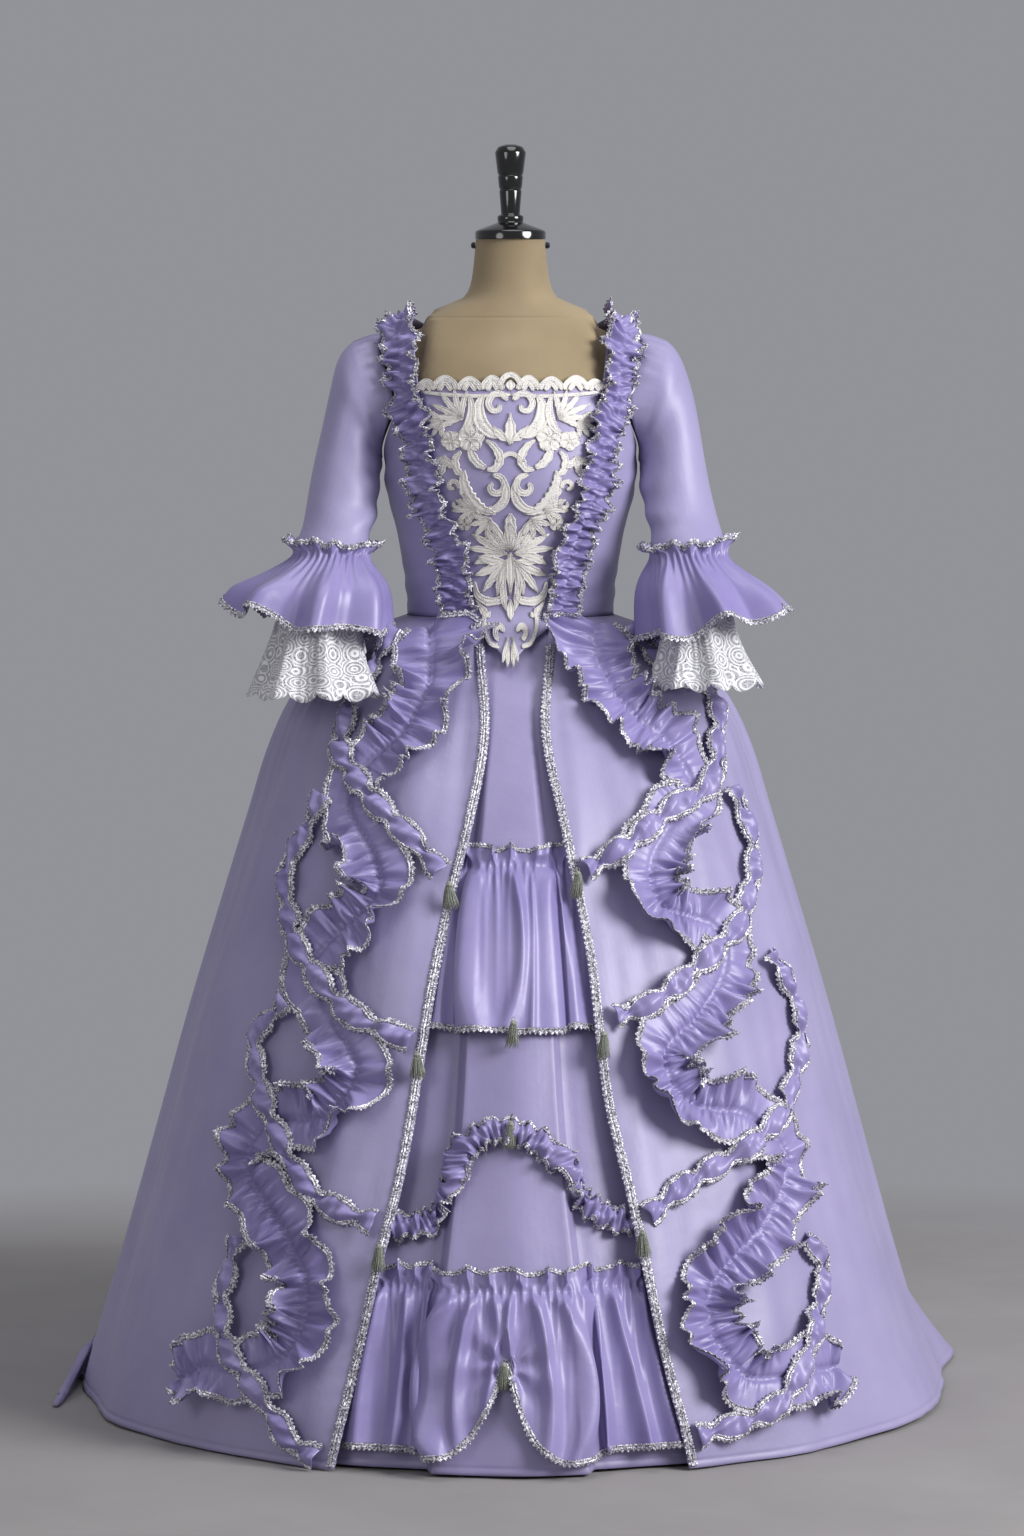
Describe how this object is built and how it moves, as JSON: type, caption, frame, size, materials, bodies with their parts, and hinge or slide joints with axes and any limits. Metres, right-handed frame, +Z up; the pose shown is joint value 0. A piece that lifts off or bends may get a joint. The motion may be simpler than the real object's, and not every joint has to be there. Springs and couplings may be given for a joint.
{
  "type": "ball gown on a dress form",
  "caption": "Floor-length open-robe gown with a trained overskirt, trimmed petticoat, square neck and flounced elbow sleeves, on a limbless dress form with a stand.",
  "frame": {"origin": "centre of the stand base's underside, on the floor", "axes": "+Z up, the gown faces -Y, +X is the viewer's right"},
  "size_m": [1.1644, 1.4539, 1.61],
  "materials": {
    "lilac_satin": "lilac duchess satin, soft sheen",
    "white_lace": "white corded and scalloped lace",
    "silver_braid": "silver-grey picot braid",
    "grey_tassel": "grey-green thread",
    "tan_linen": "tan linen stretched over the form",
    "black_gloss": "turned wood, black gloss lacquer",
    "black_iron": "black painted iron"
  },
  "bodies": {
    "root": {"form_torso": "tan_linen", "form_cap": "black_gloss", "form_screw_left": "black_iron", "form_screw_right": "black_iron", "form_pole": "black_gloss", "form_base": "black_iron", "bodice_front_left": "lilac_satin", "bodice_front_right": "lilac_satin", "bodice_back_left": "lilac_satin", "bodice_back_right": "lilac_satin", "stomacher": "lilac_satin", "lace_applique": "white_lace", "sleeve_left": "lilac_satin", "sleeve_right": "lilac_satin", "sleeve_flounce_left": "lilac_satin", "sleeve_flounce_right": "lilac_satin", "sleeve_lace_left": "white_lace", "sleeve_lace_right": "white_lace", "robing_left": "lilac_satin", "robing_right": "lilac_satin", "overskirt_left": "lilac_satin", "overskirt_right": "lilac_satin", "overskirt_back": "lilac_satin", "petticoat": "lilac_satin", "petticoat_flounce_upper": "lilac_satin", "petticoat_flounce_lower": "lilac_satin", "petticoat_festoon": "lilac_satin", "skirt_ruffle_left": "lilac_satin", "skirt_ruffle_right": "lilac_satin", "skirt_band_left_1": "lilac_satin", "skirt_band_left_2": "lilac_satin", "skirt_band_left_3": "lilac_satin", "skirt_band_left_4": "lilac_satin", "braid_left": "silver_braid", "skirt_band_right_1": "lilac_satin", "skirt_band_right_2": "lilac_satin", "skirt_band_right_3": "lilac_satin", "skirt_band_right_4": "lilac_satin", "braid_right": "silver_braid", "tassel_edge_1": "grey_tassel", "tassel_edge_2": "grey_tassel", "tassel_edge_3": "grey_tassel", "tassel_edge_4": "grey_tassel", "tassel_edge_5": "grey_tassel", "tassel_edge_6": "grey_tassel", "tassel_petticoat_1": "grey_tassel", "tassel_petticoat_2": "grey_tassel", "tassel_petticoat_3": "grey_tassel"}
  },
  "joints": []
}
